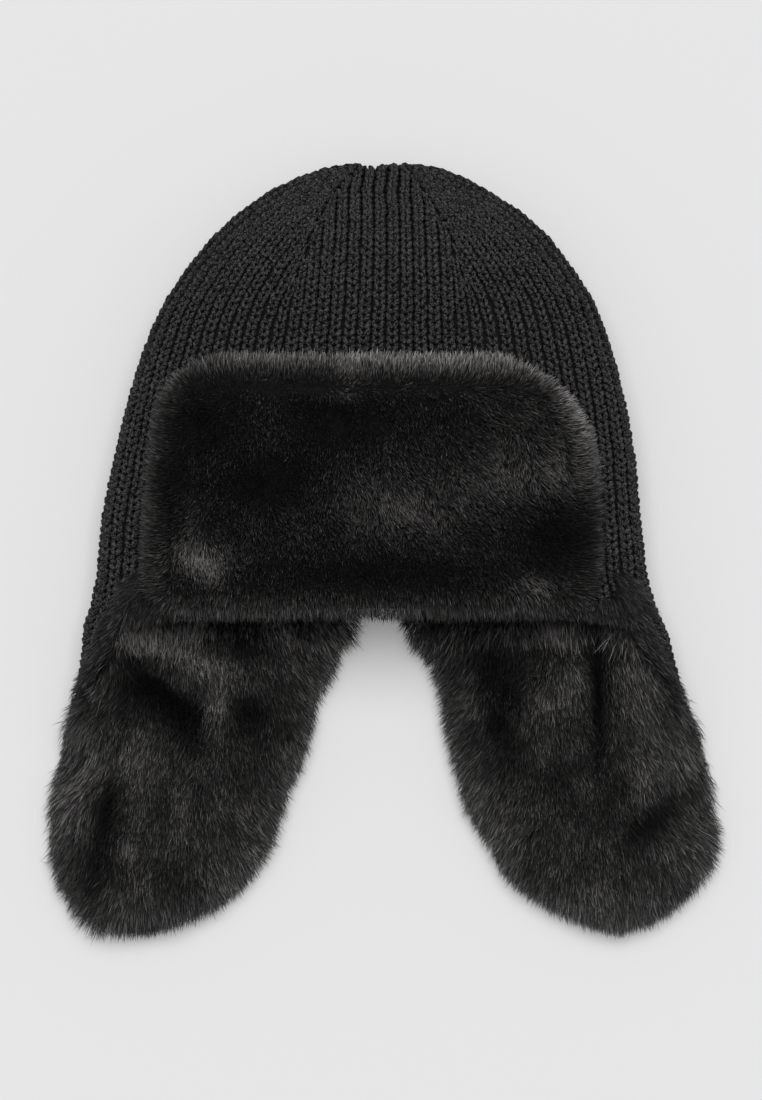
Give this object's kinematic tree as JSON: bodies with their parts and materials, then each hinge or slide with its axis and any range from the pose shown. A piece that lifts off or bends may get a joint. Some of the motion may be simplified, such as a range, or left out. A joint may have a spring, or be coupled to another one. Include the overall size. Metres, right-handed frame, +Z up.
{
  "type": "knitted aviator hat",
  "caption": "Knitted aviator hat lying on its back, with a ribbed crown, a fur visor turned up over the front and fur-lined ear flaps spread on the surface.",
  "frame": {"origin": "on the surface it rests on, under the middle of the crown's back", "axes": "+Z up from the surface, +Y from the ear flaps towards the gathered top of the crown, +X to the right as the visor is seen from above"},
  "size_m": [0.298, 0.3468, 0.0715],
  "materials": {
    "knit": "matte",
    "fur": "satin"
  },
  "bodies": {
    "root": {"crown": "knit", "front_flap": "fur", "ear_flap_left": "knit", "ear_flap_right": "knit", "ear_fur_left": "fur", "ear_fur_right": "fur"}
  },
  "joints": []
}
